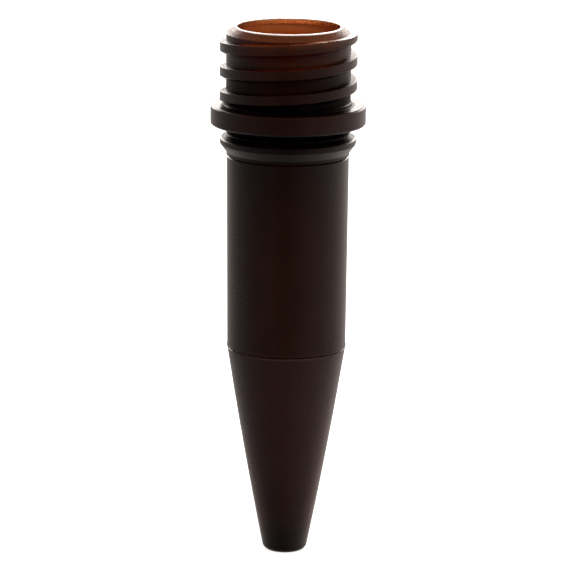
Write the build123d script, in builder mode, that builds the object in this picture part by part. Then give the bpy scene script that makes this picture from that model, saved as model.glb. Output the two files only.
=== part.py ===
"""Screw-neck microcentrifuge tube with a conical base: one amber polypropylene moulding.

Frame: millimetres, +Z up along the tube's axis, the origin at the centre of the blunt tip's
lower face, so the rim lies at RIM_Z. The tube is open at the top. Its neck carries a
right-handed, single-start outside thread for a screw cap, and the flange below the thread
rests on a rack or a rotor. Azimuths are degrees about +Z, counted from +X.
"""
import os
from math import atan, cos, degrees

from build123d import *

# Heights above the tip
RIM_Z = 45.0
BEVEL_Z = 44.46  # the lip's bevel starts here, and the thread is cut off flat
COLLAR_TOP_Z = 38.66
FLANGE_TOP_Z = 38.45
FLANGE_BOTTOM_Z = 36.82
RECESS_TOP_Z = 36.12
RECESS_BOTTOM_Z = 36.00
BEAD_TOP_Z = 35.65
BEAD_BOTTOM_Z = 35.22
NECK_FOOT_TOP_Z = 34.50
NECK_LINE_Z = 34.19  # parting line between the neck mould and the barrel mould
BARREL_BOTTOM_Z = 17.88  # parting line between the barrel mould and the cone mould

RIM_HEIGHT = 0.10  # the small rounded rim that stands on the bevel
FLASH_HEIGHT = 0.11

# Outside radii
RIM_R = 4.52
THREAD_ROOT_R = 5.20
THREAD_CREST_R = 5.725
COLLAR_R = 5.32
FLANGE_R = 6.48
FLANGE_ROOT_R = 5.75  # the flange's flat underside starts here, clear of the bead
RECESS_R = 5.09  # the neck's narrowest place, between the flange and the bead
BEAD_R = 5.685
NECK_FOOT_R = 5.145
BARREL_TOP_R = 5.105
BARREL_BOTTOM_R = 4.99
FLASH_R = 5.03  # the fine lip that the parting line leaves on the barrel's lower edge
NECK_GROOVE = 0.12  # depths of the fine grooves at the two parting lines
CONE_GROOVE = 0.16
NECK_GROOVE_HEIGHT = 0.18

# Cone
TIP_R = 1.80  # where the cone's side would meet the tip's lower face
CONE_MIDDLE_R = 3.545
CONE_TOP_R = 4.99
CONE_BULGE_R = 380.0  # the cone's side is bowed out very slightly
TIP_ROUND = 0.64
GATE_R = 0.65  # shallow dimple with the gate's stub, in the middle of the tip
GATE_DEPTH = 0.12
GATE_STUB_R = 0.28
GATE_STUB_HEIGHT = 0.07

# Inside
BORE_R = 4.29
BORE_LENGTH = 9.0  # the truly cylindrical stretch that a plug or a cap's seal enters
CONE_WALL = 0.80
FLOOR_Z = 0.95
FLOOR_ROUND = 0.85

# Thread
PITCH = 2.06
CREST_WIDTH = 0.78
UPPER_FLANK_RISE = 0.06
LOWER_FLANK_DROP = 0.30
CREST_ROUND = 0.07
THREAD_ROOTED = 0.25  # how far the thread's section reaches into the wall
LOW_CREST_TOP_Z = 39.33  # height of the crest's upper edge where the full section starts
LOW_AZIMUTH = 130.0
RUN_OUT_SWEEP = 110.0  # below the full section, the thread sinks into the wall
RUN_OUT_SUNK = 0.12  # how far the crest ends below the wall's surface
RUN_OUT_OVERLAP = 1.5

EDGE_ROUND = 0.12
FLANGE_ROUND = 0.20
RIM_ROUND = 0.06
CONE_TOP_ROUND = 0.18
INSIDE_ROUND = 0.50
FINE_ROUND = 0.05


def outline(*corners):
    """Closed line through (radius, height, rounding) corners, the first and last on the axis."""
    points = [(radius, height) for radius, height, _ in corners]
    FilletPolyline(*points, radius=[rounding for _, _, rounding in corners[1:-1]])
    Line(points[-1], points[0])


def thread_section():
    """Closed thread profile: x is outwards from the thread's root, y is up from mid-crest."""
    crest = THREAD_CREST_R - THREAD_ROOT_R
    bottom = -CREST_WIDTH / 2
    top = CREST_WIDTH / 2
    bottom_inside = bottom - LOWER_FLANK_DROP * (crest + THREAD_ROOTED) / crest
    top_inside = top + UPPER_FLANK_RISE * (crest + THREAD_ROOTED) / crest
    corners = [
        (-THREAD_ROOTED, bottom_inside),
        (crest, bottom),
        (crest, top),
        (-THREAD_ROOTED, top_inside),
    ]
    FilletPolyline(*corners, radius=[CREST_ROUND, CREST_ROUND])
    Line(corners[-1], corners[0])


# Thread, full section: from its low end to past the height where it is cut off flat
low_centre_z = LOW_CREST_TOP_Z - CREST_WIDTH / 2
with BuildPart() as full_thread:
    with BuildLine() as full_path:
        Helix(PITCH, BEVEL_Z - low_centre_z + CREST_WIDTH, THREAD_ROOT_R)
    along = full_path.line % 0
    with BuildSketch(Plane(origin=full_path.line @ 0, x_dir=(1, 0, 0), z_dir=-along)):
        with BuildLine():
            thread_section()
        make_face()
    sweep(path=full_path.line, is_frenet=True)

# Thread, run-out: a short conical helix that sinks into the neck's wall, starting at azimuth 180
run_out_drop = PITCH * RUN_OUT_SWEEP / 360
run_out_taper = atan((THREAD_CREST_R - THREAD_ROOT_R + RUN_OUT_SUNK) / run_out_drop)
with BuildPart() as run_out:
    with BuildLine() as run_out_path:
        Helix(
            PITCH / cos(run_out_taper),
            run_out_drop,
            THREAD_ROOT_R,
            direction=(0, 0, -1),
            cone_angle=-degrees(run_out_taper),
        )
    along = run_out_path.line % 0
    with BuildSketch(Plane(origin=run_out_path.line @ 0, x_dir=(-1, 0, 0), z_dir=along)):
        with BuildLine():
            thread_section()
        make_face()
    sweep(path=run_out_path.line, is_frenet=True)

# Thread, whole: both lengths in place, and nothing above the lip's bevel
overlap_rise = PITCH * RUN_OUT_OVERLAP / 360
with BuildPart() as thread:
    with Locations(Location((0, 0, low_centre_z), (0, 0, LOW_AZIMUTH))):
        add(full_thread.part)
    with Locations(
        Location((0, 0, low_centre_z + overlap_rise), (0, 0, LOW_AZIMUTH + RUN_OUT_OVERLAP - 180))
    ):
        add(run_out.part)
    split(bisect_by=Plane.XY.offset(BEVEL_Z), keep=Keep.BOTTOM)

# Tube: the round outside, the thread, then the inside and the gate's dimple cut away
cone_growth = (CONE_TOP_R - TIP_R) / BARREL_BOTTOM_Z
wall_across = CONE_WALL / cos(atan(cone_growth))
floor_r = TIP_R + cone_growth * FLOOR_Z - wall_across
cone_inside_top_r = CONE_TOP_R - wall_across
with BuildPart() as tube:
    with BuildSketch(Plane.XZ):
        with BuildLine():
            outline(
                (0, 0, 0),
                (TIP_R, 0, TIP_ROUND),
                (CONE_MIDDLE_R, BARREL_BOTTOM_Z / 2, CONE_BULGE_R),
                (CONE_TOP_R, BARREL_BOTTOM_Z - 2 * FINE_ROUND, CONE_TOP_ROUND),
                (CONE_TOP_R - CONE_GROOVE, BARREL_BOTTOM_Z - FINE_ROUND, 0),
                (FLASH_R, BARREL_BOTTOM_Z, FINE_ROUND),
                (FLASH_R, BARREL_BOTTOM_Z + FLASH_HEIGHT, FINE_ROUND),
                (BARREL_BOTTOM_R, BARREL_BOTTOM_Z + 2 * FLASH_HEIGHT, 0),
                (BARREL_TOP_R, NECK_LINE_Z - NECK_GROOVE_HEIGHT / 2, FINE_ROUND),
                (BARREL_TOP_R - NECK_GROOVE, NECK_LINE_Z, 0),
                (NECK_FOOT_R, NECK_LINE_Z + NECK_GROOVE_HEIGHT / 2, FINE_ROUND),
                (NECK_FOOT_R, NECK_FOOT_TOP_Z, FINE_ROUND),
                (BEAD_R, BEAD_BOTTOM_Z, EDGE_ROUND),
                (BEAD_R, BEAD_TOP_Z, EDGE_ROUND),
                (RECESS_R, RECESS_BOTTOM_Z, FINE_ROUND),
                (RECESS_R, RECESS_TOP_Z, FINE_ROUND),
                (FLANGE_ROOT_R, FLANGE_BOTTOM_Z, EDGE_ROUND),
                (FLANGE_R, FLANGE_BOTTOM_Z, FLANGE_ROUND),
                (FLANGE_R, FLANGE_TOP_Z, FLANGE_ROUND),
                (COLLAR_R, FLANGE_TOP_Z, EDGE_ROUND),
                (COLLAR_R, COLLAR_TOP_Z, EDGE_ROUND),
                (THREAD_ROOT_R, COLLAR_TOP_Z + COLLAR_R - THREAD_ROOT_R, FINE_ROUND),
                (THREAD_ROOT_R, BEVEL_Z, FINE_ROUND),
                (RIM_R, RIM_Z - RIM_HEIGHT, FINE_ROUND),
                (RIM_R, RIM_Z, RIM_ROUND),
                (0, RIM_Z, 0),
            )
        make_face()
    revolve(axis=Axis.Z)
    add(thread.part)
    with BuildSketch(Plane.XZ):
        with BuildLine():
            outline(
                (0, FLOOR_Z, 0),
                (floor_r, FLOOR_Z, FLOOR_ROUND),
                (cone_inside_top_r, BARREL_BOTTOM_Z, INSIDE_ROUND),
                (BORE_R, RIM_Z - BORE_LENGTH, 0),
                (BORE_R, RIM_Z + EDGE_ROUND, 0),
                (0, RIM_Z + EDGE_ROUND, 0),
            )
        make_face()
    revolve(axis=Axis.Z, mode=Mode.SUBTRACT)
    with BuildSketch(Plane.XZ):
        with BuildLine():
            outline(
                (0, -GATE_DEPTH, 0),
                (GATE_R, -GATE_DEPTH, 0),
                (GATE_R, 0, 0),
                (GATE_STUB_R, GATE_DEPTH, 0),
                (GATE_STUB_R, GATE_DEPTH - GATE_STUB_HEIGHT, 0),
                (0, GATE_DEPTH - GATE_STUB_HEIGHT, 0),
            )
        make_face()
    revolve(axis=Axis.Z, mode=Mode.SUBTRACT)

os.makedirs("parts", exist_ok=True)
tube.part.label = "tube"
export_step(tube.part, "parts/tube.step")
print("valid", tube.part.is_valid, "volume", tube.part.volume, "solids", len(tube.part.solids()))
print("box", tube.part.bounding_box())
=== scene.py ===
import math

import bpy
from mathutils import Matrix, Vector

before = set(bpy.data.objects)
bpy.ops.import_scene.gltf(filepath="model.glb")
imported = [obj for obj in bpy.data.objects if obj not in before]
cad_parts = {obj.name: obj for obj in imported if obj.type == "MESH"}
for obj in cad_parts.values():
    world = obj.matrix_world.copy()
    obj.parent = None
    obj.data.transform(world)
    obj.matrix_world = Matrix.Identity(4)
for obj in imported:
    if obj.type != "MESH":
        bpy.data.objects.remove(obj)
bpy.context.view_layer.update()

MM = 0.001
WHITE = (1.0, 1.0, 1.0)

# ---- camera ----
CAMERA_DISTANCE = 325 * MM
CAMERA_ELEVATION = math.radians(12.7)
CAMERA_ROLL = math.radians(0.50)
LENS = 241.3
SENSOR_WIDTH = 36
CLIP_START = 0.01
CLIP_END = 20
AIM = Vector((0.11 * MM, 0, 22.76 * MM))

# ---- studio ----
# In this section a pair ending in _X, _Y or _Z is a range of directions, each given by its part
# along that axis, from -1 to 1.
# Brightness of the surroundings, as the plastic reflects them, from in front of the object (0)
# round to behind it (1)
DOME = ((0.0, 0.04), (0.07, 0.09), (0.35, 0.14), (0.68, 0.28), (0.86, 0.40), (1.0, 0.5))
DOME_RIGHT_GAIN = 2.15  # the light on the object's right is this much stronger
DOME_TOP_GAIN = 0.35  # straight above it is dimmer
DOME_TOP_Z = (0.45, 0.9)
DOME_LOW_GAIN = 1.3  # and from well below the horizon it is slightly stronger
DOME_LOW_Z = (-0.5, -0.3)
LEFT_COLOUR = (1.0, 0.93, 0.89)  # the surroundings are slightly warm, more so on the right
RIGHT_COLOUR = (1.0, 0.83, 0.77)
COLOUR_X = (0.1, 0.9)
BACK_BAND = 6.5  # a low bright band behind the object, which its upward faces mirror
BAND_FOOT_Z = (0.04, 0.14)
BAND_TOP_Z = (0.35, 0.55)
BAND_SIDE_Y = (0.6, 0.85)
KEY_PLACE = Vector((60, -250, 420)) * MM
KEY_AIM = Vector((0, 0, 30)) * MM
KEY_SIZE = 300 * MM
KEY_POWER = 3.0
FLOOR_HALF = 3.0
FLOOR_DROP = 0.02 * MM
FLOOR_COLOUR = (0.8, 0.8, 0.8)
FLOOR_ROUGHNESS = 0.6
FLOOR_GLOW = 0.78

# ---- shape of the tube, as far as its colours follow it: heights and radii in mm ----
TIP_Z = (0.1, 0.8)  # the tip's rounding
CONE_TOP_Z = 17.88
NECK_Z = (33.9, 34.4)  # the grained neck begins here
RECESS_Z = (35.65, 35.75)
THREAD_TOP_Z = (44.40, 44.44)
SHELF_TOP_Z = 44.43
BEVEL_Z = (44.46, 44.50)
LIP_Z = (44.89, 44.93)
VALLEY_R = (5.50, 5.62)  # valleys lie within the first radius, crests beyond the second
# A surface halfway through the wall tells its outer face from its inner one
HALFWAY_TIP_R = 1.39
HALFWAY_CONE_TOP_R = 4.55
HALFWAY_LIP_R = 4.39
HALFWAY_FLOOR_Z = 0.5
# Upward part of a normal: 0 on an upright wall, 1 on a level face
SHELF_UPWARD = (0.75, 0.95)
BEVEL_UPWARD = (0.96, 0.99)  # the bevel is steeper; the thread's cut-off top is level

# ---- plastic ----
# Tints of the plastic, (height in mm, colour): it lets more light through towards the lip, and the tints
# paint that light in; they also paint shade, darker on the bead and in the recess under the flange, and
# they are darker at the tip
OUTSIDE = (
    (0.0, (0.005, 0.003, 0.002)),
    (1.2, (0.02, 0.010, 0.005)),
    (3.0, (0.15, 0.06, 0.035)),
    (9.0, (0.20, 0.085, 0.06)),
    (17.6, (0.18, 0.08, 0.055)),
    (17.68, (0.36, 0.21, 0.17)),  # painted highlight: the cone's upper edge shows as a fine light line
    (17.78, (0.36, 0.21, 0.17)),
    (17.8, (0.11, 0.04, 0.02)),
    (26.0, (0.115, 0.035, 0.014)),
    (33.8, (0.05, 0.014, 0.007)),
    (35.7, (0.02, 0.008, 0.005)),
    (36.6, (0.02, 0.004, 0.002)),
    (37.2, (0.13, 0.025, 0.01)),
    (38.4, (0.11, 0.02, 0.008)),
    (39.8, (0.09, 0.02, 0.008)),
    (41.8, (0.13, 0.035, 0.012)),
    (43.8, (0.22, 0.06, 0.022)),
    (44.5, (0.57, 0.22, 0.08)),
    (44.9, (0.50, 0.19, 0.065)),
)
# Tints of the thread's valleys, painted shade and painted glow: near black in the recess and the lowest
# valleys, lighter in the upper valleys, where light from the mouth shines through
VALLEY_SHADE_AND_GLOW = (
    (35.6, (0.005, 0.001, 0.001)),
    (39.2, (0.005, 0.001, 0.001)),
    (41.0, (0.09, 0.02, 0.004)),
    (42.2, (0.06, 0.015, 0.004)),
    (42.6, (0.26, 0.075, 0.014)),
    (43.4, (0.28, 0.08, 0.014)),
    (44.0, (0.17, 0.048, 0.014)),
)
# Tints of the inner face, painted light: bright orange near the mouth, where the light behind shines
# through the wall, and darker further down
INSIDE_GLOW = (
    (38.0, (0.10, 0.02, 0.005)),
    (43.0, (0.30, 0.03, 0.01)),
    (43.7, (0.50, 0.10, 0.02)),
    (44.1, (0.80, 0.34, 0.15)),
    (44.4, (0.95, 0.42, 0.19)),
    (44.55, (0.50, 0.22, 0.10)),
    (44.9, (0.60, 0.29, 0.18)),
)
SHELF_SHADE = (0.012, 0.004, 0.002)  # painted shade on the thread's and the flange's upper faces
# painted highlight: the lip's near-white colour stands in for the bright light it catches
LIP_HIGHLIGHT = (0.95, 0.88, 0.85)
# Weights of the glossy coat, out of the 1 of the barrel, the cone and the crests
# Less gloss in the valleys and the recess: painted shade on their reflections
VALLEY_GLOSS = ((35.6, 0.2), (39.2, 0.15), (41.0, 0.5), (43.0, 0.85), (44.4, 0.8))
SHELF_GLOSS = 0.4
BEVEL_GLOSS = 0.3
TIP_GLOSS = 0.25
INSIDE_GLOSS = 0.5
BODY_CLEARNESS = 0.92
LIP_CLEARNESS = 0.1
BODY_ROUGHNESS = 0.3
LIP_ROUGHNESS = 0.8
COAT_ROUGHNESS = 0.3
COAT_IOR = 1.5
BODY_IOR = 1.06  # low, so that the thin wall bends and mirrors little of the light behind it
ABSORPTION = (0.759, 0.483, 0.034)
ABSORPTION_DENSITY = 2900
# Relief and variation
NOISE_RANGE = (0.3, 0.7)  # most of a noise's values lie in here
FLOW_STRETCH = (1.0, 1.0, 0.06)  # flow lines of the moulding run up and down
FLOW_SCALE = 900
FLOW_DETAIL = 4
FLOW_SHADE = (0.86, 1.14)
CLOUD_SCALE = 260
CLOUD_DETAIL = 3
CLOUD_SHADE = (0.8, 1.2)
GRAIN_SCALE = 7000
GRAIN_DETAIL = 3
GRAIN_HEIGHT = 0.012 * MM
GRAIN_BODY = 0.06
GRAIN_NECK = 0.35
GRAIN_ROUGHNESS = 0.05


def node(tree, kind, **values):
    made = tree.nodes.new(kind)
    for name, value in values.items():
        setattr(made, name, value)
    return made


def feed(tree, socket, value):
    """Sets a socket to a number or a colour, or links it to another socket."""
    if isinstance(value, tuple):
        socket.default_value = (*value, 1)
    elif isinstance(value, (int, float)):
        socket.default_value = value
    else:
        tree.links.new(value, socket)


def ramp(tree, factor, stops, interpolation="LINEAR"):
    """Colour ramp with (position, value) stops, a value being a number or an RGB colour."""
    made = node(tree, "ShaderNodeValToRGB")
    made.color_ramp.interpolation = interpolation
    elements = made.color_ramp.elements
    while len(elements) < len(stops):
        elements.new(0.5)
    for element, (position, value) in zip(elements, stops):
        rgb = value if isinstance(value, tuple) else (value, value, value)
        element.position = position
        element.color = (*rgb, 1)
    feed(tree, made.inputs["Fac"], factor)
    return made.outputs["Color"]


def mapped(tree, value, low, high, to_low=0.0, to_high=1.0, smooth=False):
    made = node(tree, "ShaderNodeMapRange")
    made.interpolation_type = "SMOOTHSTEP" if smooth else "LINEAR"
    ends = {"From Min": low, "From Max": high, "To Min": to_low, "To Max": to_high}
    for name, number in ends.items():
        feed(tree, made.inputs[name], number)
    feed(tree, made.inputs["Value"], value)
    return made.outputs["Result"]


def above(tree, z, heights):
    """0 below the first height in mm, 1 above the second."""
    return mapped(tree, z, heights[0] * MM, heights[1] * MM)


def inverse(tree, value):
    return mapped(tree, value, 0, 1, 1, 0)


def maths(tree, operation, first, second):
    made = node(tree, "ShaderNodeMath", operation=operation)
    feed(tree, made.inputs[0], first)
    feed(tree, made.inputs[1], second)
    return made.outputs["Value"]


def product(tree, first, *others):
    result = first
    for other in others:
        result = maths(tree, "MULTIPLY", result, other)
    return result


def by_height(tree, z, stops):
    """Colour ramp over the height, its stops being (height in mm, value)."""
    low, high = stops[0][0], stops[-1][0]
    places = tuple(((height - low) / (high - low), value) for height, value in stops)
    return ramp(tree, above(tree, z, (low, high)), places)


def mixed(tree, factor, first, second):
    made = node(tree, "ShaderNodeMix", data_type="RGBA")
    feed(tree, made.inputs["Factor"], factor)
    feed(tree, made.inputs["A"], first)
    feed(tree, made.inputs["B"], second)
    return made.outputs["Result"]


def noise(tree, vector, scale, detail):
    made = node(tree, "ShaderNodeTexNoise")
    feed(tree, made.inputs["Scale"], scale)
    feed(tree, made.inputs["Detail"], detail)
    feed(tree, made.inputs["Vector"], vector)
    return made.outputs["Fac"]


def separated(tree, vector):
    made = node(tree, "ShaderNodeSeparateXYZ")
    feed(tree, made.inputs["Vector"], vector)
    return made.outputs


def make_camera():
    data = bpy.data.cameras.new("camera")
    data.lens = LENS
    data.sensor_width = SENSOR_WIDTH
    data.clip_start = CLIP_START
    data.clip_end = CLIP_END
    camera = bpy.data.objects.new("camera", data)
    bpy.context.scene.collection.objects.link(camera)
    back = Vector((0, -math.cos(CAMERA_ELEVATION), math.sin(CAMERA_ELEVATION)))
    turn = back.to_track_quat("Z", "Y").to_matrix().to_4x4() @ Matrix.Rotation(CAMERA_ROLL, 4, "Z")
    camera.matrix_world = Matrix.Translation(AIM + back * CAMERA_DISTANCE) @ turn
    bpy.context.scene.camera = camera


def make_floor():
    """White ground that only the camera sees."""
    mesh = bpy.data.meshes.new("floor")
    r = FLOOR_HALF
    mesh.from_pydata([(-r, -r, 0), (r, -r, 0), (r, r, 0), (-r, r, 0)], [], [(0, 1, 2, 3)])
    floor = bpy.data.objects.new("floor", mesh)
    floor.location.z = -FLOOR_DROP
    bpy.context.scene.collection.objects.link(floor)
    material = bpy.data.materials.new("floor_white")
    material.use_nodes = True
    shader = material.node_tree.nodes["Principled BSDF"].inputs
    shader["Base Color"].default_value = (*FLOOR_COLOUR, 1)
    shader["Roughness"].default_value = FLOOR_ROUGHNESS
    shader["Specular IOR Level"].default_value = 0
    shader["Emission Color"].default_value = (*WHITE, 1)
    shader["Emission Strength"].default_value = FLOOR_GLOW
    mesh.materials.append(material)
    floor.visible_glossy = False
    floor.visible_transmission = False
    floor.visible_diffuse = False


def make_world():
    """White where the camera looks, straight or through the plastic; a dim-fronted dome elsewhere."""
    world = bpy.data.worlds.new("studio")
    bpy.context.scene.world = world
    world.use_nodes = True
    tree = world.node_tree
    towards = separated(tree, node(tree, "ShaderNodeTexCoord").outputs["Generated"])
    x, y, z = towards["X"], towards["Y"], towards["Z"]
    around = ramp(tree, mapped(tree, y, -1, 1), DOME, "B_SPLINE")
    right = mapped(tree, x, 0, 1, 1, DOME_RIGHT_GAIN)
    overhead = mapped(tree, z, *DOME_TOP_Z, 1, DOME_TOP_GAIN)
    low = mapped(tree, z, *DOME_LOW_Z, DOME_LOW_GAIN, 1)
    band_foot = mapped(tree, z, *BAND_FOOT_Z, smooth=True)
    band_top = mapped(tree, z, *BAND_TOP_Z, 1, 0, smooth=True)
    behind = mapped(tree, y, *BAND_SIDE_Y, 0, BACK_BAND, smooth=True)
    band = product(tree, band_foot, band_top, behind)
    dome = maths(tree, "ADD", product(tree, around, right, overhead, low), band)

    path = node(tree, "ShaderNodeLightPath").outputs
    seen = maths(tree, "MAXIMUM", path["Is Camera Ray"], path["Is Transmission Ray"])
    warm = mixed(tree, mapped(tree, x, *COLOUR_X), LEFT_COLOUR, RIGHT_COLOUR)
    background = tree.nodes["Background"].inputs
    feed(tree, background["Color"], mixed(tree, seen, warm, WHITE))
    feed(tree, background["Strength"], maths(tree, "MAXIMUM", seen, dome))


def make_key():
    data = bpy.data.lights.new("key", "AREA")
    data.shape = "DISK"
    data.size = KEY_SIZE
    data.energy = KEY_POWER
    key = bpy.data.objects.new("key", data)
    bpy.context.scene.collection.objects.link(key)
    key.location = KEY_PLACE
    key.rotation_euler = (KEY_PLACE - KEY_AIM).to_track_quat("Z", "Y").to_euler()
    key.visible_glossy = False
    key.visible_transmission = False


def amber_plastic():
    """Thin clear plastic whose tint, clearness and gloss follow the tube's height and relief; the tint
    paints in light and shade.
    """
    material = bpy.data.materials.new("amber_polypropylene")
    material.use_nodes = True
    tree = material.node_tree
    shader = tree.nodes["Principled BSDF"].inputs
    place = node(tree, "ShaderNodeTexCoord").outputs["Object"]
    at = separated(tree, place)
    z = at["Z"]
    flat = node(tree, "ShaderNodeCombineXYZ")
    feed(tree, flat.inputs["X"], at["X"])
    feed(tree, flat.inputs["Y"], at["Y"])
    length = node(tree, "ShaderNodeVectorMath", operation="LENGTH")
    feed(tree, length.inputs[0], flat.outputs["Vector"])
    radius = length.outputs["Value"]
    upward = separated(tree, node(tree, "ShaderNodeNewGeometry").outputs["Normal"])["Z"]

    # Masks
    halfway = mapped(tree, z, 0, CONE_TOP_Z * MM, HALFWAY_TIP_R * MM, HALFWAY_CONE_TOP_R * MM)
    halfway = maths(tree, "MINIMUM", halfway, HALFWAY_LIP_R * MM)
    outer = maths(tree, "GREATER_THAN", radius, halfway)
    outer = maths(tree, "MAXIMUM", outer, maths(tree, "LESS_THAN", z, HALFWAY_FLOOR_Z * MM))
    below_crest = mapped(tree, radius, VALLEY_R[0] * MM, VALLEY_R[1] * MM, 1, 0)
    valley = product(
        tree, below_crest, above(tree, z, RECESS_Z), inverse(tree, above(tree, z, THREAD_TOP_Z))
    )
    lip = product(tree, outer, above(tree, z, LIP_Z))
    shelf = product(
        tree, mapped(tree, upward, *SHELF_UPWARD), outer, maths(tree, "LESS_THAN", z, SHELF_TOP_Z * MM)
    )
    bevel = product(
        tree, above(tree, z, BEVEL_Z), mapped(tree, upward, *BEVEL_UPWARD, 1, 0), outer, inverse(tree, lip)
    )

    # Tint, with painted light and shade, and with flow lines and clouds on the outer face
    outside = mixed(tree, valley, by_height(tree, z, OUTSIDE), by_height(tree, z, VALLEY_SHADE_AND_GLOW))
    tint = mixed(tree, outer, by_height(tree, z, INSIDE_GLOW), outside)
    # painted shade on the upper faces and a painted highlight on the lip
    tint = mixed(tree, lip, mixed(tree, shelf, tint, SHELF_SHADE), LIP_HIGHLIGHT)
    stretched = node(tree, "ShaderNodeVectorMath", operation="MULTIPLY")
    feed(tree, stretched.inputs[0], place)
    stretched.inputs[1].default_value = FLOW_STRETCH
    flow = noise(tree, stretched.outputs["Vector"], FLOW_SCALE, FLOW_DETAIL)
    clouds = noise(tree, place, CLOUD_SCALE, CLOUD_DETAIL)
    shade = product(
        tree,
        mapped(tree, flow, *NOISE_RANGE, *FLOW_SHADE),
        mapped(tree, clouds, *NOISE_RANGE, *CLOUD_SHADE),
        outer,
    )
    varied = node(tree, "ShaderNodeVectorMath", operation="SCALE")
    feed(tree, varied.inputs[0], tint)
    feed(tree, varied.inputs["Scale"], maths(tree, "ADD", shade, inverse(tree, outer)))
    feed(tree, shader["Base Color"], varied.outputs["Vector"])
    feed(tree, shader["Transmission Weight"], mapped(tree, lip, 0, 1, BODY_CLEARNESS, LIP_CLEARNESS))

    # Grain, in the relief and the roughness
    grain = noise(tree, place, GRAIN_SCALE, GRAIN_DETAIL)
    rough = mapped(tree, lip, 0, 1, BODY_ROUGHNESS, LIP_ROUGHNESS)
    uneven = mapped(tree, grain, *NOISE_RANGE, -GRAIN_ROUGHNESS, GRAIN_ROUGHNESS)
    feed(tree, shader["Roughness"], maths(tree, "ADD", rough, uneven))
    bump = node(tree, "ShaderNodeBump")
    strength = mapped(tree, z, NECK_Z[0] * MM, NECK_Z[1] * MM, GRAIN_BODY, GRAIN_NECK)
    feed(tree, bump.inputs["Strength"], strength)
    feed(tree, bump.inputs["Distance"], GRAIN_HEIGHT)
    feed(tree, bump.inputs["Height"], grain)
    feed(tree, shader["Normal"], bump.outputs["Normal"])
    feed(tree, shader["Coat Normal"], bump.outputs["Normal"])

    # Gloss
    gloss = product(
        tree,
        mixed(tree, valley, WHITE, by_height(tree, z, VALLEY_GLOSS)),
        mapped(tree, outer, 0, 1, INSIDE_GLOSS, 1),
        mapped(tree, shelf, 0, 1, 1, SHELF_GLOSS),
        mapped(tree, z, TIP_Z[0] * MM, TIP_Z[1] * MM, TIP_GLOSS, 1),
        mapped(tree, bevel, 0, 1, 1, BEVEL_GLOSS),
    )
    feed(tree, shader["Coat Weight"], gloss)
    shader["Coat Roughness"].default_value = COAT_ROUGHNESS
    shader["Coat IOR"].default_value = COAT_IOR
    shader["IOR"].default_value = BODY_IOR
    volume = node(tree, "ShaderNodeVolumeAbsorption")
    volume.inputs["Color"].default_value = (*ABSORPTION, 1)
    volume.inputs["Density"].default_value = ABSORPTION_DENSITY
    tree.links.new(volume.outputs["Volume"], tree.nodes["Material Output"].inputs["Volume"])
    return material


make_camera()
make_floor()
make_world()
make_key()
plastic = amber_plastic()
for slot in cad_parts["tube"].material_slots:
    slot.material = plastic

bpy.context.scene.view_settings.view_transform = "Standard"
